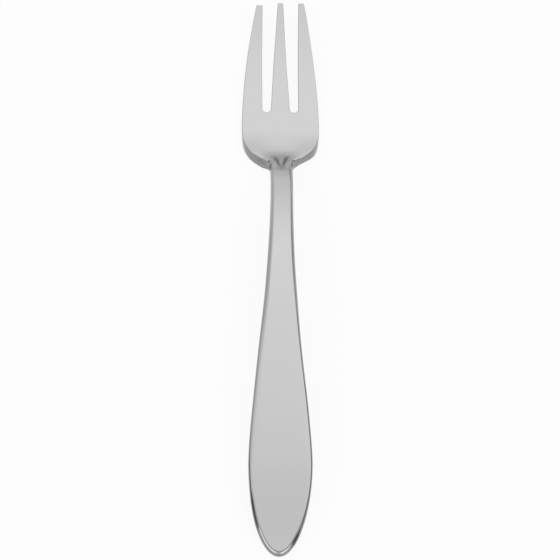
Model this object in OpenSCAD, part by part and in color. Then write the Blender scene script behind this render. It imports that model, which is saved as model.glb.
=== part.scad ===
// A three-tined oyster fork, one piece of stainless steel.
// The fork is a blank: an outline seen from above, with a thickness. The blank is pressed along
// a side curve, so it lies on the end of its handle and on the back of its palm, tines up.
// Its surface is worked out in rows of points that run across the blank. A point has a distance
// s along the blank, a distance x across it and a height h over its back.

/* [Handle] */
// Length of the handle, from its end to the neck's end
handle_l = 100.2; // [80:0.1:130]
// Widest part of the handle
handle_w = 14.55; // [11:0.05:19]
// Narrowest part of the handle, at the neck
neck_w = 5.24; // [4:0.02:7]
// Length of the round end of the handle, up to its widest part
end_l = 22; // [10:0.5:30]
// Straight length of the neck
neck_l = 4; // [1:0.5:12]

/* [Head] */
// Widest part of the head, at the palm
head_w = 18.3; // [15:0.1:24]
// Length of the shoulders, from the neck to the widest part of the head
shoulder_l = 12; // [9:0.5:16]
// Length and width of the hollow between the neck and a shoulder
hollow_l = 1.97; // [1.5:0.01:2.5]
hollow_w = 1.54; // [1:0.01:2]
// Direction of the edge where the hollow ends, in degrees from the fork's length
hollow_turn = 52; // [40:1:64]
// How firmly the hollow's curve holds on to the neck, and to the shoulder
hollow_lead = 1.3; // [0.8:0.1:1.6]
hollow_trail = 0.6; // [0.3:0.1:1]
// How firmly the shoulder's curve holds on to the hollow, and to the palm
shoulder_lead = 4.2; // [2:0.1:5]
shoulder_trail = 6.9; // [4:0.1:8]
// How far the top edge of the shoulders lies in from the bottom edge
shoulder_draft = 0.5; // [0:0.05:0.8]
// Width of the fan that the neck's ridge spreads into on the palm
fan_w = 12; // [9:0.1:14]
// Length of the palm, from its widest part to the bottoms of the slots
palm_l = 4.6; // [2:0.1:12]

/* [Tines] */
// Length of the tines, from the bottoms of the slots to the tips
tine_l = 29.6; // [15:0.1:40]
// Width of a slot at its round bottom
slot_w = 2.06; // [1.2:0.02:2.6]
// Distance between the inner edges of the two outer tines
outer_gap = 8.56; // [7.4:0.02:9.4]
// Width of the middle tine at its tip
mid_tip_w = 1.3; // [0.9:0.05:1.8]
// Width of an outer tine at its tip
outer_tip_w = 1.34; // [0.9:0.02:1.8]
// Radius of the corners of the tips
tip_r = 0.3; // [0.1:0.05:0.4]

/* [Thickness] */
// Thickness of the round end of the handle at its edge
end_t = 1.7; // [1.3:0.05:2.8]
// Thickness of the handle at its edges, past its round end
handle_t = 2.95; // [2:0.05:4]
// Thickness of the shoulders at their edges
shoulder_t = 2.3; // [1.6:0.05:3]
// Thickness of the palm
palm_t = 1.75; // [1.2:0.05:2.4]
// Thickness of the tines at their tips
tip_t = 1.2; // [0.8:0.05:1.6]
// Height of the low crown along the handle, over its edges
crown_h = 0.2; // [0.05:0.05:0.6]
// Height of the ridge on the neck, over its edges
ridge_h = 1; // [0.3:0.05:1.6]
// Rounding of the top edges of the handle and the neck
handle_r = 0.4; // [0.1:0.05:0.5]
// Rounding of the top edges of the tines
tine_r = 0.15; // [0.05:0.05:0.25]
// Rounding of the edges of the back
back_r = 0.15; // [0.05:0.05:0.25]

/* [Side curve] */
// Turn of the long bend in the handle, in degrees
handle_turn = 6.6; // [0:0.1:12]
// Turn of the bend at the neck, in degrees
neck_turn = 14.3; // [4:0.1:24]
// Turn of the tines, upwards, in degrees
tine_turn = 12; // [2:0.1:24]
// Length of the back's straight stretch under the palm, where the fork rests
rest_l = 3; // [1:0.25:6]
// How deep the back is dressed flat where it touches the table
rest_cut = 0.02; // [0.01:0.01:0.05]

/* [Hidden] */

// Half sizes
handle_half = handle_w / 2;
neck_half = neck_w / 2;
head_half = head_w / 2;
outer_half = outer_gap / 2 + outer_tip_w;
slot_r = slot_w / 2;
// The middle of a slot's round bottom
slot_x = outer_gap / 2 - slot_r;
// Places along the blank
taper_end = handle_l - neck_l;
palm_start = handle_l + shoulder_l;
slot_start = palm_start + palm_l;
fork_l = slot_start + tine_l;

// The taper of the handle: a slow start at the widest part and a long run into the neck
taper_early_share = 0.78;
taper_late_share = 1.14;
// The sides of the head draw in faster towards the tips
side_share = 1.8;
// The ridge is flat on top over the first share of its width at the neck, the second at the palm
ridge_flat_shares = [0.78, 0.2];
// It rises from the crown between these shares of the length of the handle
ridge_in_shares = [0.4, 0.92];
// It sinks between these shares of the length of the shoulders, from just before the neck's end
ridge_out_shares = [-0.15, 0.5];
// The edges thin down from handle to shoulder, and from shoulder to palm, between these shares
shoulder_t_shares = [0.6, 0.94];
palm_t_shares = [0.35, 1];
// The bends start and end at these shares of the length of the handle, or of the shoulders
handle_bend_shares = [0, 0.84];
neck_bend_shares = [0.7, 1.02];
palm_bend_shares = [0, 0.92];

// Points across one half of the ridge, from its middle to its foot
crest_shares = [0, 0.35, 0.6, 0.7, 0.8, 0.9, 1];
// The ridge's foot keeps to this share of the width
reach_share = 0.8;
// Strips across the foot of the ridge, and across each of the two parts of the back
foot_strips = 3;
back_strips = 2;
top_round_strips = 3;
back_round_strips = 2;
// Rows along each stretch of the blank
end_rows = 14;
taper_rows = 26;
neck_rows = 3;
hollow_rows = 9;
shoulder_rows = 18;
palm_rows = 4;
slot_rows = 6;
tine_rows = 18;
tip_rows = 3;
// The first row lies this far round the end of the handle, in degrees
end_angle = 4;

// Soft steps and lists
function clamp(u) = min(1, max(0, u));
function ease(u) = pow(clamp(u), 2) * (3 - 2 * clamp(u));
function ease_between(s, a, b) = ease((s - a) / (b - a));
function mix(a, b, u) = a + (b - a) * u;
function total(list) = list * [for (v = list) 1];
function reversed(list) = [for (k = [len(list) - 1 : -1 : 0]) list[k]];
function without_ends(list) = [for (k = [1 : len(list) - 2]) list[k]];
// From 0 up to 1 in even shares, without the last
function shares(count) = [for (k = [0 : count - 1]) k / count];

// Side curve. A bend is [start, end, change of slope] along the blank
function ease_run(u) = u > 1 ? u - 1 / 2 : pow(clamp(u), 3) - pow(clamp(u), 4) / 2;
function middle(bend) = (bend[0] + bend[1]) / 2;
handle_bend = handle_bend_shares * handle_l;
neck_bend = neck_bend_shares * handle_l;
palm_bend = [for (q = palm_bend_shares) handle_l + q * shoulder_l];
tine_bend = [palm_bend[1] + rest_l, fork_l + rest_l];
// The palm's bend lays the palm flat, level with the end of the handle
palm_slope =
    (tan(handle_turn) * middle(handle_bend) + tan(neck_turn) * middle(neck_bend)) / middle(palm_bend);
end_slope = tan(handle_turn) + tan(neck_turn) - palm_slope;
bends = [
    concat(handle_bend, -tan(handle_turn)),
    concat(neck_bend, -tan(neck_turn)),
    concat(palm_bend, palm_slope),
    concat(tine_bend, tan(tine_turn))
];
function slope(s) = end_slope + total([for (b = bends) b[2] * ease_between(s, b[0], b[1])]);
function rise(s) =
    end_slope * s + total([for (b = bends) b[2] * (b[1] - b[0]) * ease_run((s - b[0]) / (b[1] - b[0]))]);
function place(x, s, h) =
    let (lean = atan(slope(s)))
    [x, s - h * sin(lean), rise(s) + h * cos(lean)];

// Outline of the right half, as [x, s], from the end of the handle to the tips
function taper(u) = pow(1 - ease(pow(u, taper_early_share)), taper_late_share);
function bezier(p, t) =
    pow(1 - t, 3) * p[0] + 3 * pow(1 - t, 2) * t * p[1] + 3 * (1 - t) * pow(t, 2) * p[2] + pow(t, 3) * p[3];
function side_x(s) = mix(head_half, outer_half, pow((s - palm_start) / (fork_l - palm_start), side_share));
// How far the corners of the tips draw in
function tip_inset(s) = tip_r - sqrt(pow(tip_r, 2) - pow(max(0, s - fork_l + tip_r), 2));
hollow_dir = [sin(hollow_turn), cos(hollow_turn)];
hollow_end = [neck_half + hollow_w, handle_l + hollow_l];
hollow = [
    [neck_half, handle_l],
    [neck_half, handle_l + hollow_lead],
    hollow_end - hollow_trail * hollow_dir,
    hollow_end
];
shoulder = [
    hollow_end,
    hollow_end + shoulder_lead * hollow_dir,
    [head_half, palm_start - shoulder_trail],
    [head_half, palm_start]
];
end_edge = [
    for (k = [0 : end_rows])
        let (a = mix(end_angle, 90, k / end_rows))
        [handle_half * sin(a), end_l * (1 - cos(a))]
];
taper_edge = [
    for (k = [1 : taper_rows])
        let (u = k / taper_rows)
        [mix(neck_half, handle_half, taper(u)), mix(end_l, taper_end, u)]
];
neck_edge = [for (k = [1 : neck_rows]) [neck_half, mix(taper_end, handle_l, k / neck_rows)]];
hollow_edge = [for (k = [1 : hollow_rows]) bezier(hollow, k / hollow_rows)];
shoulder_edge = [for (k = [1 : shoulder_rows]) bezier(shoulder, k / shoulder_rows)];
palm_s = [for (k = [1 : palm_rows]) mix(palm_start, slot_start, k / palm_rows)];
slot_s = [for (k = [1 : slot_rows]) slot_start + slot_r * (1 - cos(90 * k / slot_rows))];
tine_s = [for (k = [1 : tine_rows]) mix(slot_start + slot_r, fork_l - tip_r, k / tine_rows)];
tip_s = [for (k = [1 : tip_rows]) fork_l - tip_r * (1 - sin(90 * k / tip_rows))];
head_edge = [for (s = concat(palm_s, slot_s, tine_s, tip_s)) [side_x(s) - tip_inset(s), s]];
outline = concat(end_edge, taper_edge, neck_edge, hollow_edge, shoulder_edge, head_edge);
last_row = len(outline) - 1;
// The row at the bottoms of the slots
slot_row = last_row - tip_rows - tine_rows - slot_rows;
// Direction into the blank: square to the outline, and straight across on the head
function inward(i) =
    let (d = outline[min(i + 1, last_row)] - outline[max(i - 1, 0)])
    outline[i][1] < palm_start ? [-d[1], d[0]] / norm(d) : [-1, 0];
function inside(i, inset) = outline[i] + inward(i) * inset;

// Thickness of the edges, rounding of the top edges, and height of the ridge over the edges
function edge_t(s) =
    let (handle_u = ease(s / end_l))
    let (shoulder_u = ease_between(s / handle_l, shoulder_t_shares[0], shoulder_t_shares[1]))
    let (palm_u = ease_between((s - handle_l) / shoulder_l, palm_t_shares[0], palm_t_shares[1]))
    let (tip_u = clamp((s - palm_start) / (fork_l - palm_start)))
    mix(mix(mix(mix(end_t, handle_t, handle_u), shoulder_t, shoulder_u), palm_t, palm_u), tip_t, tip_u);
function edge_r(s) = mix(handle_r, tine_r, ease_between(s, taper_end, palm_start));
// How far the flat of the top starts in from the outline
function edge_in(s) =
    let (draft_u = ease_between(s, handle_l, hollow_end[1]) - ease_between(s, hollow_end[1], palm_start))
    edge_r(s) + shoulder_draft * draft_u;
function ridge_top(s) =
    mix(crown_h, ridge_h, ease_between(s / handle_l, ridge_in_shares[0], ridge_in_shares[1]))
    * (1 - ease_between((s - handle_l) / shoulder_l, ridge_out_shares[0], ridge_out_shares[1]));
function fan_u(s) = ease_between((s - handle_l) / shoulder_l, 0, ridge_out_shares[1]);
function ridge_half(i) =
    let (s = outline[i][1])
    s < handle_l ? outline[i][0] : mix(neck_half, fan_w / 2, fan_u(s));
function top_h(i, x, s) =
    let (flat = mix(ridge_flat_shares[0], ridge_flat_shares[1], fan_u(s)))
    edge_t(s) + ridge_top(s) * (1 - ease_between(x / ridge_half(i), flat, 1));

// Half of the opening of a slot's round bottom, all of it past the bottom
function slot_half(s) = sqrt(pow(slot_r, 2) - pow(slot_r - min(slot_r, s - slot_start), 2));
// The middle part of a row ends at the foot of the ridge, or at a slot
function middle_end(i) =
    let (s = outline[i][1])
    let (foot = min(ridge_half(i), reach_share * inside(i, edge_in(s))[0]))
    let (tine_u = clamp((s - slot_start - slot_r) / (tine_l - slot_r)))
    i < slot_row ? mix(foot, slot_x, ease_between(s, palm_start, slot_start))
    : mix(slot_x - slot_half(s), mid_tip_w / 2, tine_u) - tip_inset(s);
// The outer part of a row starts there, or on the far side of the slot
function outer_start(i) =
    let (s = outline[i][1])
    i < slot_row ? middle_end(i) : slot_x + slot_half(s) + tip_inset(s);

// Stretches of a row, on the back from the middle out, and on the top from the edge in
function back_at(i, x) = place(x, inside(i, back_r)[1], 0);
function top_at(i, x) =
    let (s = inside(i, edge_in(outline[i][1]))[1])
    place(x, s, top_h(i, x, s));
function back_middle(i) = [for (u = shares(back_strips)) back_at(i, u * middle_end(i))];
function back_outer(i) =
    let (edge = inside(i, back_r)[0])
    [for (u = shares(back_strips)) back_at(i, mix(outer_start(i), edge, u))];
function back_round(i) = [
    for (k = [0 : back_round_strips])
        let (a = 90 * k / back_round_strips)
        let (p = inside(i, back_r * (1 - sin(a))))
        place(p[0], p[1], back_r * (1 - cos(a)))
];
function top_round(i) = [
    for (k = [0 : top_round_strips])
        let (a = 90 * k / top_round_strips)
        let (r = edge_r(outline[i][1]))
        let (p = inside(i, edge_in(outline[i][1]) - r * cos(a)))
        place(p[0], p[1], top_h(i, p[0], p[1]) - r * (1 - sin(a)))
];
function top_outer(i) =
    let (edge = inside(i, edge_in(outline[i][1]))[0])
    [for (u = reversed(shares(foot_strips))) top_at(i, mix(outer_start(i), edge, u))];
function top_middle(i) = [for (q = reversed(crest_shares)) top_at(i, q * middle_end(i))];
function mirrored(points) = [for (p = points) [-p[0], p[1], p[2]]];

// Rows as closed loops, seen from the tips in the direction of a clock's hands
function outer_row(i) = concat(back_outer(i), back_round(i), top_round(i), top_outer(i));
function both_sides(half) = concat(half, mirrored(reversed(without_ends(half))));
function blank_row(i) =
    let (foot = without_ends(concat([0], top_outer(i))))
    both_sides(concat(back_middle(i), back_outer(i), back_round(i), top_round(i), foot, top_middle(i)));
function middle_row(i) = both_sides(concat(back_middle(i), [back_at(i, middle_end(i))], top_middle(i)));

// A piece of skin is [points, faces]
function tube(loops) =
    let (n = len(loops[0]))
    [
        [for (loop = loops) each loop],
        [
            for (i = [0 : len(loops) - 2], j = [0 : n - 1])
                let (k = (j + 1) % n)
                each [
                    [i * n + j, i * n + k, (i + 1) * n + k],
                    [i * n + j, (i + 1) * n + k, (i + 1) * n + j]
                ]
        ]
    ];
// Closes an end with triangles round its middle
function cap(loop) =
    let (n = len(loop))
    [
        concat(loop, [[for (axis = [0 : 2]) total([for (p = loop) p[axis]]) / n]]),
        [for (j = [0 : n - 1]) [j, (j + 1) % n, n]]
    ];
function flipped(piece) = [mirrored(piece[0]), [for (f = piece[1]) reversed(f)]];
function joined(pieces, k = 0) =
    k == len(pieces) - 1 ? pieces[k]
    : let (rest = joined(pieces, k + 1))
    let (n = len(pieces[k][0]))
    [concat(pieces[k][0], rest[0]), concat(pieces[k][1], [for (f = rest[1]) [for (v = f) v + n]])];

blank_skin = tube([for (i = [0 : slot_row]) blank_row(i)]);
outer_skin = tube([for (i = [slot_row : last_row]) outer_row(i)]);
middle_skin = tube([for (i = [slot_row : last_row]) middle_row(i)]);
skin = joined([
    cap(reversed(blank_row(0))),
    blank_skin,
    middle_skin,
    cap(middle_row(last_row)),
    outer_skin,
    cap(outer_row(last_row)),
    flipped(outer_skin),
    flipped(cap(outer_row(last_row)))
]);

// The middle of the length lies at the origin
all_y = [for (p = skin[0]) p[1]];
mid_y = (min(all_y) + max(all_y)) / 2;

module fork() {
    color("silver")
        translate([0, -mid_y, -rest_cut])
            difference() {
                polyhedron(skin[0], skin[1], convexity = 4);
                // What the back loses where it touches the table
                translate([-head_w, -end_l, rest_cut - head_w])
                    cube([2 * head_w, fork_l + 2 * end_l, head_w]);
            }
}

fork();
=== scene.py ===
import math

import bpy
import numpy as np
from mathutils import Matrix, Vector, geometry, kdtree


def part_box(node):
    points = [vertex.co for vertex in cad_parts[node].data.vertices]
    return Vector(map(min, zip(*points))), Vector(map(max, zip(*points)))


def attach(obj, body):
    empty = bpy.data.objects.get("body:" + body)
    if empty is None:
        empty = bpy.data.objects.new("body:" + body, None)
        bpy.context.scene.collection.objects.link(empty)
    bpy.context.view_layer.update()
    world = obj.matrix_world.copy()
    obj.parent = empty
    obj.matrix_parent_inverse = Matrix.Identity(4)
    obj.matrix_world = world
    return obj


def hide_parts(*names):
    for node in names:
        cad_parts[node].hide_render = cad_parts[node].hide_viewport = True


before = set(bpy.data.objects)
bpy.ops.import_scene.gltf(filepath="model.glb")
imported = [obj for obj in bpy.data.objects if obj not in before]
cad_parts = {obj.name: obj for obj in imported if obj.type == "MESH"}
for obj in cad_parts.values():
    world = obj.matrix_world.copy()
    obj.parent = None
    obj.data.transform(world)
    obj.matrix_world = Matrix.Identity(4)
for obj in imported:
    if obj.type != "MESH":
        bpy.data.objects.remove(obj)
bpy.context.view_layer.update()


# Fork.
# One blank of stainless steel strip, cut to outline, its edges broken, pressed along a side curve
# and polished to a satin. It lies on the end of its handle and on the back of its palm, tines up.
# Sizes are in millimetres, s runs along the blank from the end of the handle, x across it.
HANDLE_L, HANDLE_W, NECK_W, END_L, NECK_L = 100.2, 14.55, 5.24, 22, 4
HEAD_W, SHOULDER_L, PALM_L, TINE_L = 18.2, 12, 4.75, 29.45
# Powers that shape the handle's taper, at its start and over its length, and the head's sides
TAPER_START, TAPER, SIDE_TAPER = 0.78, 1.14, 1.8
HOLLOW_L, HOLLOW_W, HOLLOW_TURN, HOLLOW_LEAD, HOLLOW_TRAIL = 1.97, 1.54, 52, 1.3, 0.6
SHOULDER_LEAD, SHOULDER_TRAIL, SHOULDER_DRAFT, FAN_W = 4.2, 6.9, 0.5, 12
SLOT_W, OUTER_GAP, MID_TIP_W, OUTER_TIP_W, TIP_R = 2.06, 8.56, 1.3, 1.34, 0.3
END_T, HANDLE_T, SHOULDER_T, PALM_T, TIP_T = 1.7, 2.95, 2.3, 1.75, 1.2
CROWN_H, RIDGE_H = 0.2, 1.0
RIDGE_FALL, STEEP_FALL, RIDGE_FAN = (95.5, 105), (100.4, 105.2), (98.8, 106.5)
# The share of the steep fall in the ridge's end, and how much of a round foot its flanks have on the neck
STEEP_SHARE, FLANK_FOOT = 0.35, 0.2
# Shares of the half width that are flat on top: handle, neck and fan. A flank has at least the last width
HANDLE_FLAT, NECK_FLAT, FAN_FLAT, MIN_FLANK = 0.72, 0.8, 0.2, 0.01
# A stretch starts softly from s to s, and ends softly from s to s
SCOOP, SCOOP_SIDES, SCOOP_DEPTH = (101.8, 105.9, 105.3, 110.5), (1, 0.36 * HEAD_W), 0.21
# Creases, dented into the top face and painted darker there as shade: side, from s to s, from x to x, from
# width to width, and share of the full depth
CREASES = ((-1, (99.9, 103.9), (0.52, 1.55), (0.34, 0.70), 0.9),
           (1, (100.0, 104.1), (0.42, 1.60), (0.32, 0.62), 1.0),
           (1, (93.2, 100.7), (2.3, 1.85), (0.2, 0.24), 0.9),
           (1, (98.8, 101.0), (0, 0), (1.4, 0.6), 0.45))
# They begin softly around their start, fade from this share of their length on, and end a little past it
CREASE_DEPTH, CREASE_RISE, CREASE_FADE, CREASE_TAIL = 0.2, (-1, 0.5), 0.55, 0.8
END_R, HANDLE_R, TINE_R = 0.7, 0.5, 0.1
END_BACK_R, BACK_R = 0.6, 0.15
# The round edges of the handle's end thin out from s to s
END_EASE = (4, END_L)
HANDLE_TURN, NECK_TURN, TINE_TURN, REST_L, REST_CUT = 6.6, 14.3, 12, 3, 0.02
# The middle line isn't quite straight: at s it lies this far to the side
CROOK = ((0, -0.14), (18, 0.09), (33, 0.0), (50, -0.12), (68, 0.06), (97, 0.33), (107, 0.08),
         (119, 0.0), (132, -0.1), (146, -0.06))
# The left tine is shorter. The left shoulder bulges at its back, where the right one is cut back
LEFT_TIP_CUT, SHOULDER_BULGE, BULGE = 0.6, 0.45, (0.6, 2.2, 2.2, 6)
# How far apart points lie along the outline, plain and at the shoulders, and on the two faces
OUTLINE_SPACING, SHOULDER_SPACING, TOP_SPACING, BACK_SPACING = 0.3, 0.15, 0.35, 0.7
TIP_POINTS, SLOT_POINTS = 7, 25
MM = 1000

NECK_START = HANDLE_L - NECK_L
PALM_START = HANDLE_L + SHOULDER_L
SLOT_START = PALM_START + PALM_L
FORK_L = SLOT_START + TINE_L
SLOT_R = SLOT_W / 2
SLOT_X = OUTER_GAP / 2 - SLOT_R
# The edge thins to the shoulder's thickness, and then to the palm's, from s to s. The ridge rises from s to s
SHOULDER_THIN = (0.6 * HANDLE_L, 0.94 * HANDLE_L)
PALM_THIN = (HANDLE_L + 0.35 * SHOULDER_L, PALM_START)
RIDGE_RISE = (0.4 * HANDLE_L, 0.92 * HANDLE_L)


def ease(s, start, end):
    u = np.clip((np.asarray(s, float) - start) / (end - start), 0, 1)
    return u * u * (3 - 2 * u)


def stretch(s, bounds):
    return ease(s, *bounds[:2]) - ease(s, *bounds[2:])


def ease_run(u):
    c = np.clip(u, 0, 1)
    return np.where(u > 1, u - 0.5, c ** 3 - c ** 4 / 2)


def mix(a, b, u):
    return a + (b - a) * u


# The side curve: bends as (start, end, change of slope)
HANDLE_BEND = (0, 0.84 * HANDLE_L)
NECK_BEND = (0.7 * HANDLE_L, 1.02 * HANDLE_L)
PALM_BEND = (HANDLE_L, HANDLE_L + 0.92 * SHOULDER_L)
TINE_BEND = (PALM_BEND[1] + REST_L, FORK_L + REST_L)
turn = [math.tan(math.radians(a)) for a in (HANDLE_TURN, NECK_TURN, TINE_TURN)]
palm_slope = (turn[0] * sum(HANDLE_BEND) + turn[1] * sum(NECK_BEND)) / sum(PALM_BEND)
end_slope = turn[0] + turn[1] - palm_slope
BENDS = ((HANDLE_BEND, -turn[0]), (NECK_BEND, -turn[1]), (PALM_BEND, palm_slope), (TINE_BEND, turn[2]))


def slope(s):
    return end_slope + sum(d * ease(s, a, b) for (a, b), d in BENDS)


def rise(s):
    return end_slope * s + sum(d * (b - a) * ease_run((s - a) / (b - a)) for (a, b), d in BENDS)


def place(x, s, h):
    lean = np.arctan(slope(s))
    return np.stack([x, s - h * np.sin(lean), rise(s) + h * np.cos(lean)], 1)


def half_width(s):
    """Half the width of the handle and neck at s."""
    s = np.asarray(s, float)
    u = np.clip((s - END_L) / (NECK_START - END_L), 0, 1)
    taper = (1 - ease(u ** TAPER_START, 0, 1)) ** TAPER
    round_end = HANDLE_W / 2 * np.sqrt(np.clip(1 - (1 - np.clip(s / END_L, 0, 1)) ** 2, 0, 1))
    return np.where(s < END_L, round_end, mix(NECK_W / 2, HANDLE_W / 2, taper))


def spaced(points, step):
    """The same run of points, evenly spaced."""
    points = np.asarray(points, float)
    run = np.concatenate([[0], np.cumsum(np.hypot(*np.diff(points, axis=0).T))])
    at = np.linspace(0, run[-1], max(2, int(round(run[-1] / step)) + 1))
    return np.stack([np.interp(at, run, points[:, 0]), np.interp(at, run, points[:, 1])], 1)


def arc(centre, r, start, end, count):
    a = np.radians(np.linspace(start, end, count))
    return np.stack([centre[0] + r * np.cos(a), centre[1] + r * np.sin(a)], 1)


def bezier(a, b, c, d, count):
    t = np.linspace(0, 1, count)[1:, None]
    a, b, c, d = np.array([a, b, c, d], float)
    return (1 - t) ** 3 * a + 3 * (1 - t) ** 2 * t * b + 3 * (1 - t) * t ** 2 * c + t ** 3 * d


hollow_dir = np.array([math.sin(math.radians(HOLLOW_TURN)), math.cos(math.radians(HOLLOW_TURN))])
hollow_end = np.array([NECK_W / 2 + HOLLOW_W, HANDLE_L + HOLLOW_L])


def half_outline(tip_cut):
    """Half of the outline, from the end of the handle to the tip of the middle tine."""
    a = np.radians(np.linspace(0, 90, 400))
    end = np.stack([HANDLE_W / 2 * np.sin(a), END_L * (1 - np.cos(a))], 1)
    s = np.linspace(END_L, HANDLE_L, 800)[1:]
    handle = np.stack([half_width(s), s], 1)
    hollow = bezier((NECK_W / 2, HANDLE_L), (NECK_W / 2, HANDLE_L + HOLLOW_LEAD),
                    hollow_end - HOLLOW_TRAIL * hollow_dir, hollow_end, 100)
    shoulder = bezier(hollow_end, hollow_end + SHOULDER_LEAD * hollow_dir,
                      (HEAD_W / 2, PALM_START - SHOULDER_TRAIL), (HEAD_W / 2, PALM_START), 200)
    tip_x = OUTER_GAP / 2 + OUTER_TIP_W
    top = FORK_L - tip_cut - TIP_R
    s = np.linspace(PALM_START, top, 300)[1:]
    side = np.stack([mix(HEAD_W / 2, tip_x, ((s - PALM_START) / (FORK_L - PALM_START)) ** SIDE_TAPER), s], 1)
    corner_x = side[-1, 0] - TIP_R
    smooth = np.concatenate([spaced(np.concatenate([end, handle]), OUTLINE_SPACING)[:-1],
                             spaced(np.concatenate([handle[-1:], hollow, shoulder]), SHOULDER_SPACING)[:-1],
                             spaced(np.concatenate([shoulder[-1:], side]), OUTLINE_SPACING)[:-1]])
    outer_tip = np.concatenate([arc((corner_x, top), TIP_R, 0, 90, TIP_POINTS),
                                arc((OUTER_GAP / 2 + TIP_R, top), TIP_R, 90, 180, TIP_POINTS)])
    bottom = (SLOT_X, SLOT_START + SLOT_R)
    inner = spaced([(OUTER_GAP / 2, top), (OUTER_GAP / 2, bottom[1])], OUTLINE_SPACING)[1:-1]
    slot = arc(bottom, SLOT_R, 360, 180, SLOT_POINTS)
    top = FORK_L - TIP_R
    middle = spaced([(SLOT_X - SLOT_R, bottom[1]), (MID_TIP_W / 2, top)], OUTLINE_SPACING)[1:-1]
    middle_tip = arc((MID_TIP_W / 2 - TIP_R, top), TIP_R, 0, 90, TIP_POINTS)
    return np.concatenate([smooth, outer_tip, inner, slot, middle, middle_tip, [(0, FORK_L)]])


def inward_of(loop):
    along = np.roll(loop, -1, 0) - np.roll(loop, 1, 0)
    return np.stack([-along[:, 1], along[:, 0]], 1) / np.hypot(*along.T)[:, None]


outline = np.concatenate([half_outline(0), (half_outline(LEFT_TIP_CUT)[1:-1] * (-1, 1))[::-1]])
bulge = SHOULDER_BULGE * stretch(outline[:, 1] - HANDLE_L, BULGE) * -np.sign(outline[:, 0])
outline = outline - inward_of(outline) * bulge[:, None]
inward = inward_of(outline)


def edge_t(s):
    shoulder, palm = ease(s, *SHOULDER_THIN), ease(s, *PALM_THIN)
    tip = np.clip((s - PALM_START) / (FORK_L - PALM_START), 0, 1)
    handle = mix(END_T, HANDLE_T, ease(s, 0, END_L))
    return mix(mix(mix(handle, SHOULDER_T, shoulder), PALM_T, palm), TIP_T, tip)


def edge_r(s):
    return mix(mix(END_R, HANDLE_R, ease(s, *END_EASE)), TINE_R, ease(s, NECK_START, PALM_START))


def root_crease(x, s):
    """How deep a place lies in the creases where the neck runs into the palm, 0 to 1."""
    deep = 0
    for side, (start, end), (x_start, x_end), (w_start, w_end), share in CREASES:
        u = np.clip((s - start) / (end - start), 0, 1)
        off = (x * side - mix(x_start, x_end, u)) / mix(w_start, w_end, u)
        fade = 1 - ease(s, mix(start, end, CREASE_FADE), end + CREASE_TAIL)
        along = ease(s, start + CREASE_RISE[0], start + CREASE_RISE[1]) * fade
        deep = np.maximum(deep, share * along * np.exp(-off ** 2))
    return deep


def top_h(x, s):
    """Height of the top face over the back: the edge, and the ridge that fans out into the palm."""
    neck = ease(s, *RIDGE_RISE)
    ridge = mix(CROWN_H, RIDGE_H, neck) * (1 - mix(ease(s, *RIDGE_FALL), ease(s, *STEEP_FALL), STEEP_SHARE))
    fan = ease(s, *RIDGE_FAN)
    half = half_width(np.minimum(s, HANDLE_L))
    flat = mix(mix(HANDLE_FLAT, NECK_FLAT, neck) * half, FAN_FLAT * FAN_W / 2, fan)
    off = np.clip((np.abs(x) - flat) / np.maximum(mix(half, FAN_W / 2, fan) - flat, MIN_FLANK), 0, 1)
    flank = mix(off ** 2, mix(off, ease(off, 0, 1), mix(FLANK_FOOT, 1, fan)), neck)
    scoop = SCOOP_DEPTH * stretch(s, SCOOP) * (1 - ease(np.abs(x), *SCOOP_SIDES))
    return edge_t(s) + ridge * (1 - flank) - scoop - CREASE_DEPTH * root_crease(x, s)


# Where the neck runs into the palm the points lie closer: from s to s, and by what share.
# A point keeps this share of a step clear of the outline
ROOT, CLEAR = (94, 109, 0.5), 0.55


def face_points(loop, step):
    """Rows of points inside a closed loop, a step apart and clear of the loop."""
    tree = kdtree.KDTree(len(loop))
    for k, p in enumerate(loop):
        tree.insert((p[0], p[1], 0), k)
    tree.balance()
    nxt = np.roll(loop, -1, 0)
    found = []
    fine = np.arange(ROOT[0], ROOT[1], step * ROOT[2])
    for s in np.concatenate([np.arange(step, ROOT[0], step), fine, np.arange(ROOT[1], FORK_L, step)]):
        gap = step * ROOT[2] if ROOT[0] <= s < ROOT[1] else step
        cross = (loop[:, 1] > s) != (nxt[:, 1] > s)
        a, b = loop[cross], nxt[cross]
        xs = np.sort(a[:, 0] + (b[:, 0] - a[:, 0]) * (s - a[:, 1]) / (b[:, 1] - a[:, 1]))
        for low, high in zip(xs[::2], xs[1::2]):
            count = int((high - low) / gap)
            for x in np.linspace(low, high, count + 2)[1:-1] if count else []:
                if tree.find((x, s, 0))[2] > CLEAR * gap:
                    found.append((x, s))
    return found


def face_triangles(loop, step):
    """Triangles over a closed loop. Gives the added points, and triangles by place in loop + added."""
    points = [Vector(p) for p in loop] + [Vector(p) for p in face_points(loop, step)]
    n = len(loop)
    edges = [(k, (k + 1) % n) for k in range(n)]
    out, _, tris, where, _, _ = geometry.delaunay_2d_cdt(points, edges, [], 1, 1e-6)
    source = [w[0] if w else None for w in where]
    if None in source:
        raise ValueError("the outline crosses itself")
    added = np.array([tuple(p) for p in points[n:]]).reshape(-1, 2)
    return added, [[source[v] for v in t] for t in tris]


# The edges, as rings of points from the back up to the top face
BACK_STEPS, WALL_STEPS, TOP_STEPS = 3, 2, 6
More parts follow.
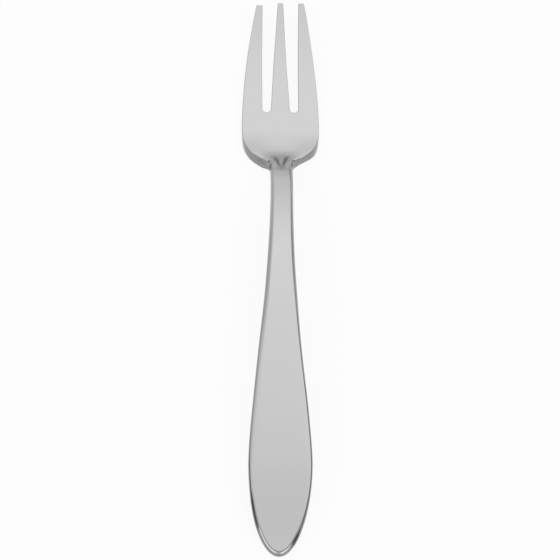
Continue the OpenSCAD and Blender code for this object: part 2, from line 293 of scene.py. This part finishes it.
# 1 is a round edge, 2 a plain bevel. The edge is this share as high as it is wide
EDGE_BLUNT, EDGE_LOW = 1.3, 0.82
rings = []
back_r = mix(END_BACK_R, BACK_R, ease(outline[:, 1], *END_EASE))
for k in range(BACK_STEPS + 1):
    a = math.pi / 2 * k / BACK_STEPS
    rings.append((outline + inward * (back_r * (1 - math.sin(a)))[:, None], back_r * (1 - math.cos(a))))
r = edge_r(outline[:, 1])
shoulders = (HANDLE_L, hollow_end[1], hollow_end[1], PALM_START)
draft = SHOULDER_DRAFT * stretch(outline[:, 1], shoulders) + bulge
for k in range(TOP_STEPS + 1):
    a = math.pi / 2 * k / TOP_STEPS
    run, drop = 1 - math.cos(a) ** EDGE_BLUNT, EDGE_LOW * (1 - math.sin(a) ** EDGE_BLUNT)
    p = outline + inward * (draft + r * run)[:, None]
    if k == 0:
        for w in range(1, WALL_STEPS):
            u = w / WALL_STEPS
            rings.append((mix(outline, p, u), mix(back_r, top_h(*p.T) - r * drop, u)))
    rings.append((p, top_h(*p.T) - r * drop))

n = len(outline)
verts = [place(p[:, 0], p[:, 1], h) for p, h in rings]
# Painted shade on the edge, dark places that stand in for dark reflections: one on each side of the handle's
# end, and a fainter one on the neck's right
SHADE_LEFT, SHADE_RIGHT = (5.0, 7.2, 12, 16.5), (1.7, 3.1, 4.2, 6.6)
SHADE_NECK, NECK_SHARE = (66, 80, 95, 99), 0.45
# The rim of the handle's end gets a little painted shade as well, from s to s, and its inner line more.
# Shares of the rim's and of the places' painted shade, on the wall and on the inner line
RIM, WALL_SHADE, LINE_SHADE = (1, 12), (0.25, 0.9), (0.95, 0.4)
rim = 1 - ease(outline[:, 1], *RIM)
spots = np.where(outline[:, 0] < 0, stretch(outline[:, 1], SHADE_LEFT),
                 stretch(outline[:, 1], SHADE_RIGHT) + NECK_SHARE * stretch(outline[:, 1], SHADE_NECK))
on_wall = np.maximum(WALL_SHADE[0] * rim, WALL_SHADE[1] * spots)
on_line = np.maximum(LINE_SHADE[0] * rim, LINE_SHADE[1] * spots)
# Painted shade for each ring: the wall rings, the rounding, and the top's inner line
shade_rows = [on_wall] * (len(rings) - TOP_STEPS) + [spots] * (TOP_STEPS - 1) + [on_line]
faces = []
for k in range(len(rings) - 1):
    for j in range(n):
        i = (j + 1) % n
        faces.append((k * n + j, k * n + i, (k + 1) * n + i, (k + 1) * n + j))
base = len(rings) * n
for ring, step, top in ((len(rings) - 1, TOP_SPACING, True), (0, BACK_SPACING, False)):
    added, tris = face_triangles(rings[ring][0], step)
    h = top_h(*added.T) if top else np.zeros(len(added))
    verts.append(place(added[:, 0], added[:, 1], h))
    # On the top face the creases' depth is painted on as shade as well; the back gets none
    shade_rows.append(root_crease(*added.T) if top else h)
    name = [ring * n + v if v < n else base + v - n for v in range(n + len(added))]
    for t in tris:
        faces.append(tuple(name[v] for v in (t if top else t[::-1])))
    base += len(added)
verts = np.concatenate(verts) / MM
# It is set down flat on the table, and in the middle of the frame's length
verts[:, 2] = np.maximum(verts[:, 2] - REST_CUT / MM, 0)
low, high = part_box("fork")
verts[:, 1] += (low.y + high.y) / 2 - (verts[:, 1].min() + verts[:, 1].max()) / 2
knots = np.array(CROOK) / MM
at = verts[:, 1] - verts[:, 1].min()
k = np.clip(np.searchsorted(knots[:, 0], at) - 1, 0, len(knots) - 2)
verts[:, 0] += mix(knots[k, 1], knots[k + 1, 1], ease(at, knots[k, 0], knots[k + 1, 0]))

mesh = bpy.data.meshes.new("fork_blank")
mesh.from_pydata(verts.tolist(), [], faces)
mesh.validate()
mesh.polygons.foreach_set("use_smooth", [True] * len(mesh.polygons))
# The painted shade goes onto the mesh as an attribute, which darkens the steel's colour
painted_shade = mesh.attributes.new("painted_shade", "FLOAT", "POINT")
painted_shade.data.foreach_set("value", np.concatenate(shade_rows))
fork = bpy.data.objects.new("fork_blank", mesh)
bpy.context.scene.collection.objects.link(fork)

# Satin steel: a fine grain along the fork, with a little haze. Steep faces take a darker colour as painted
# shade, and the painted shade places a darker one still
STEEL_TONES = (0.612, 0.612, 0.610, 1), (0.630, 0.630, 0.629, 1)
STEEP_SHADE_TONE, PAINTED_SHADE_TONE, PAINTED_SHADE_MOST = (0.30, 0.30, 0.30, 1), (0.12, 0.12, 0.12, 1), 0.85
# How upright a face's normal is where it starts to count as steep, and where it fully does
STEEP_FROM, STEEP_TO = 0.86, 0.58
GRAIN, GRAIN_DETAIL, HAZE, HAZE_DETAIL = (5000, 350, 5000), 3.0, 90, 4.0
ROUGHNESS, GRAIN_BUMP, GRAIN_HEIGHT = (0.15, 0.25), 0.02, 0.00005
steel = bpy.data.materials.new("satin_steel")
steel.use_nodes = True
nodes, links = steel.node_tree.nodes, steel.node_tree.links
shader = nodes["Principled BSDF"]
shader.inputs["Metallic"].default_value = 1.0
where = nodes.new("ShaderNodeTexCoord")
grain_scale = nodes.new("ShaderNodeMapping")
grain_scale.inputs["Scale"].default_value = GRAIN
links.new(where.outputs["Object"], grain_scale.inputs["Vector"])
grain = nodes.new("ShaderNodeTexNoise")
grain.inputs["Scale"].default_value = 1.0
grain.inputs["Detail"].default_value = GRAIN_DETAIL
links.new(grain_scale.outputs["Vector"], grain.inputs["Vector"])
haze = nodes.new("ShaderNodeTexNoise")
haze.inputs["Scale"].default_value = HAZE
haze.inputs["Detail"].default_value = HAZE_DETAIL
links.new(where.outputs["Object"], haze.inputs["Vector"])
tone = nodes.new("ShaderNodeMix")
tone.data_type = "RGBA"
tone.inputs["A"].default_value = STEEL_TONES[0]
tone.inputs["B"].default_value = STEEL_TONES[1]
links.new(haze.outputs["Fac"], tone.inputs["Factor"])
facing = nodes.new("ShaderNodeNewGeometry")
upright = nodes.new("ShaderNodeSeparateXYZ")
links.new(facing.outputs["Normal"], upright.inputs["Vector"])
level_face = nodes.new("ShaderNodeMath")
level_face.operation = "ABSOLUTE"
links.new(upright.outputs["Z"], level_face.inputs[0])
steep = nodes.new("ShaderNodeMapRange")
steep.interpolation_type = "SMOOTHSTEP"
steep.inputs["From Min"].default_value = STEEP_FROM
steep.inputs["From Max"].default_value = STEEP_TO
links.new(level_face.outputs[0], steep.inputs["Value"])
# Painted shade: the steeper a face, the more it takes the dark steep tone
steep_shade_mix = nodes.new("ShaderNodeMix")
steep_shade_mix.data_type = "RGBA"
steep_shade_mix.inputs["B"].default_value = STEEP_SHADE_TONE
links.new(steep.outputs["Result"], steep_shade_mix.inputs["Factor"])
links.new(tone.outputs["Result"], steep_shade_mix.inputs["A"])
# Painted shade: the attribute darkens the colour further, up to this share
painted_shade_at = nodes.new("ShaderNodeAttribute")
painted_shade_at.attribute_name = "painted_shade"
painted_shade_share = nodes.new("ShaderNodeMath")
painted_shade_share.operation = "MULTIPLY"
painted_shade_share.inputs[1].default_value = PAINTED_SHADE_MOST
links.new(painted_shade_at.outputs["Fac"], painted_shade_share.inputs[0])
painted_shade_mix = nodes.new("ShaderNodeMix")
painted_shade_mix.data_type = "RGBA"
painted_shade_mix.inputs["B"].default_value = PAINTED_SHADE_TONE
links.new(painted_shade_share.outputs[0], painted_shade_mix.inputs["Factor"])
links.new(steep_shade_mix.outputs["Result"], painted_shade_mix.inputs["A"])
links.new(painted_shade_mix.outputs["Result"], shader.inputs["Base Color"])
rough = nodes.new("ShaderNodeMapRange")
rough.inputs["To Min"].default_value = ROUGHNESS[0]
rough.inputs["To Max"].default_value = ROUGHNESS[1]
both = nodes.new("ShaderNodeMath")
both.operation = "MULTIPLY"
links.new(grain.outputs["Fac"], both.inputs[0])
links.new(haze.outputs["Fac"], both.inputs[1])
links.new(both.outputs[0], rough.inputs["Value"])
links.new(rough.outputs["Result"], shader.inputs["Roughness"])
bump = nodes.new("ShaderNodeBump")
bump.inputs["Strength"].default_value = GRAIN_BUMP
bump.inputs["Distance"].default_value = GRAIN_HEIGHT
links.new(grain.outputs["Fac"], bump.inputs["Height"])
links.new(bump.outputs["Normal"], shader.inputs["Normal"])
mesh.materials.append(steel)

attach(fork, "root")
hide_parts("fork")


# Table.
# A plain pale board under the fork, wide enough to fill the view. It keeps the fork's soft shadow.
# Half its size, and how far it lies below the fork, so that no two faces share a place
HALF_SPAN, BELOW = 3.0, 0.00002
BOARD_TONES, SPECK, BOARD_ROUGH = ((0.97, 0.97, 0.97, 1), (0.98, 0.98, 0.98, 1)), 400, 0.9
WHITE_SHARE = 0.9
floor_mesh = bpy.data.meshes.new("table")
corners = ((-1, -1), (1, -1), (1, 1), (-1, 1))
floor_mesh.from_pydata([(x * HALF_SPAN, y * HALF_SPAN, -BELOW) for x, y in corners], [], [(0, 1, 2, 3)])
table = bpy.data.objects.new("table", floor_mesh)
bpy.context.scene.collection.objects.link(table)
paper = bpy.data.materials.new("pale_board")
paper.use_nodes = True
nodes, links = paper.node_tree.nodes, paper.node_tree.links
shader = nodes["Principled BSDF"]
shader.inputs["Roughness"].default_value = BOARD_ROUGH
shader.inputs["Specular IOR Level"].default_value = 0.0
speck = nodes.new("ShaderNodeTexNoise")
speck.inputs["Scale"].default_value = SPECK
pale = nodes.new("ShaderNodeMix")
pale.data_type = "RGBA"
pale.inputs["A"].default_value = BOARD_TONES[0]
pale.inputs["B"].default_value = BOARD_TONES[1]
links.new(speck.outputs["Fac"], pale.inputs["Factor"])
links.new(pale.outputs["Result"], shader.inputs["Base Color"])
# The camera, and what mirrors or shows the board, see it mostly white. Its shadow stays, but fainter
ray = nodes.new("ShaderNodeLightPath")
seen = nodes.new("ShaderNodeMath")
seen.operation = "MAXIMUM"
links.new(ray.outputs["Is Camera Ray"], seen.inputs[0])
links.new(ray.outputs["Is Glossy Ray"], seen.inputs[1])
seen_through = nodes.new("ShaderNodeMath")
seen_through.operation = "MAXIMUM"
links.new(seen.outputs[0], seen_through.inputs[0])
links.new(ray.outputs["Is Transmission Ray"], seen_through.inputs[1])
whiten = nodes.new("ShaderNodeMath")
whiten.operation = "MULTIPLY"
whiten.inputs[1].default_value = WHITE_SHARE
links.new(seen_through.outputs[0], whiten.inputs[0])
white = nodes.new("ShaderNodeEmission")
white.inputs["Strength"].default_value = 1.0
blend = nodes.new("ShaderNodeMixShader")
links.new(whiten.outputs[0], blend.inputs["Fac"])
links.new(shader.outputs["BSDF"], blend.inputs[1])
links.new(white.outputs["Emission"], blend.inputs[2])
links.new(blend.outputs["Shader"], nodes["Material Output"].inputs["Surface"])
floor_mesh.materials.append(paper)


# Light.
# A white tent all round, with soft cards and lamps in it: full light from above, less towards the table.
# TENT gives the light at each height, from 0 level with the table to 1 overhead.
TENT = ((0.0, 0.48), (0.15, 0.54), (0.45, 0.70), (0.62, 0.88), (0.82, 1.06), (0.92, 1.04), (1.0, 0.99))
# Cards and lamps: direction, degrees out to the soft edge and in to the full part, share of light
CARDS = (((0.90, 0.42, 0.12), 34, 10, 0.40),
         ((-0.60, 0.50, 0.75), 33, 6, 0.70),
         ((-0.95, 0.20, 0.24), 18, 6, 0.08),
         ((0.88, -0.15, 0.42), 18, 6, 0.15),
         ((-0.72, -0.50, 0.45), 36, 16, 1.7),
         ((0.60, -0.62, 0.45), 36, 16, 1.7),
         ((0.0, -0.50, 0.87), 18, 8, 0.50))
world = bpy.data.worlds.new("tent")
bpy.context.scene.world = world
world.use_nodes = True
nodes, links = world.node_tree.nodes, world.node_tree.links
background = nodes["Background"]
direction = nodes.new("ShaderNodeTexCoord")
part = nodes.new("ShaderNodeSeparateXYZ")
links.new(direction.outputs["Generated"], part.inputs["Vector"])
ramp = nodes.new("ShaderNodeValToRGB")
while len(ramp.color_ramp.elements) < len(TENT):
    ramp.color_ramp.elements.new(0.5)
for element, (at, level) in zip(ramp.color_ramp.elements, TENT):
    element.position = at
    element.color = (level, level, level, 1)
links.new(part.outputs["Z"], ramp.inputs["Fac"])
light = ramp.outputs["Color"]
for heading, outer, inner, share in CARDS:
    near = nodes.new("ShaderNodeVectorMath")
    near.operation = "DOT_PRODUCT"
    near.inputs[1].default_value = Vector(heading).normalized()
    links.new(direction.outputs["Generated"], near.inputs[0])
    soft = nodes.new("ShaderNodeMapRange")
    soft.interpolation_type = "SMOOTHSTEP"
    soft.inputs["From Min"].default_value = math.cos(math.radians(outer))
    soft.inputs["From Max"].default_value = math.cos(math.radians(inner))
    soft.inputs["To Min"].default_value = 1.0
    soft.inputs["To Max"].default_value = share
    links.new(near.outputs["Value"], soft.inputs["Value"])
    times = nodes.new("ShaderNodeVectorMath")
    times.operation = "MULTIPLY"
    links.new(light, times.inputs[0])
    links.new(soft.outputs["Result"], times.inputs[1])
    light = times.outputs["Vector"]
links.new(light, background.inputs["Color"])
background.inputs["Strength"].default_value = 1.0

# A thin net over the fork takes off a little light towards the handle's end. The camera doesn't see it.
# Its height, half width and ends, and how much light it lets through from its near end to its far one
NET_Z, NET_HALF, NET_Y = 0.4, 0.4, (-0.35, 0.26)
NET = ((0.0, 0.83), (0.50, 0.84), (0.62, 0.87), (0.70, 0.89), (0.80, 0.935), (0.90, 0.98), (1.0, 1.0))
net_mesh = bpy.data.meshes.new("net")
net_mesh.from_pydata([(-NET_HALF, NET_Y[0], NET_Z), (NET_HALF, NET_Y[0], NET_Z),
                      (NET_HALF, NET_Y[1], NET_Z), (-NET_HALF, NET_Y[1], NET_Z)], [], [(0, 1, 2, 3)])
net = bpy.data.objects.new("net", net_mesh)
bpy.context.scene.collection.objects.link(net)
net.visible_camera = False
gauze = bpy.data.materials.new("gauze")
gauze.use_nodes = True
nodes, links = gauze.node_tree.nodes, gauze.node_tree.links
spot = nodes.new("ShaderNodeTexCoord")
spot_parts = nodes.new("ShaderNodeSeparateXYZ")
links.new(spot.outputs["Generated"], spot_parts.inputs["Vector"])
density = nodes.new("ShaderNodeValToRGB")
while len(density.color_ramp.elements) < len(NET):
    density.color_ramp.elements.new(0.5)
for element, (at, level) in zip(density.color_ramp.elements, NET):
    element.position = at
    element.color = (level, level, level, 1)
links.new(spot_parts.outputs["Y"], density.inputs["Fac"])
thin = nodes.new("ShaderNodeBsdfTransparent")
links.new(density.outputs["Color"], thin.inputs["Color"])
links.new(thin.outputs["BSDF"], nodes["Material Output"].inputs["Surface"])
net_mesh.materials.append(gauze)


# Camera.
# A long lens 1.1 m away, tilted 60 degrees down at the fork from the handle's side.
# It looks at a point near the fork's middle, moved left and down by a few millimetres at most.
TILT, SWING, ROLL = math.radians(60), math.radians(3), math.radians(3.54)
DISTANCE, PIXELS_PER_MM, PICTURE_W, SENSOR_W = 1.1, 4.3108, 560, 36
MIDDLE, MOVED = (0, 0.00016, 0.003), (0.000046, 0.002545)
ahead = Vector((math.sin(SWING) * math.cos(TILT), math.cos(SWING) * math.cos(TILT), -math.sin(TILT)))
level = Vector((math.cos(SWING), -math.sin(SWING), 0))
up = level.cross(ahead)
right_way = level * math.cos(ROLL) + up * math.sin(ROLL)
up_way = up * math.cos(ROLL) - level * math.sin(ROLL)
aim = Vector(MIDDLE) - right_way * MOVED[0] - up_way * MOVED[1]
eye = aim - ahead * DISTANCE
lens = bpy.data.cameras.new("camera")
lens.sensor_width = SENSOR_W
lens.lens = PIXELS_PER_MM * DISTANCE * MM / PICTURE_W * SENSOR_W
camera = bpy.data.objects.new("camera", lens)
camera.matrix_world = Matrix.Translation(eye) @ Matrix((right_way, up_way, -ahead)).transposed().to_4x4()
bpy.context.scene.collection.objects.link(camera)
bpy.context.scene.camera = camera
bpy.context.scene.view_settings.view_transform = "Standard"
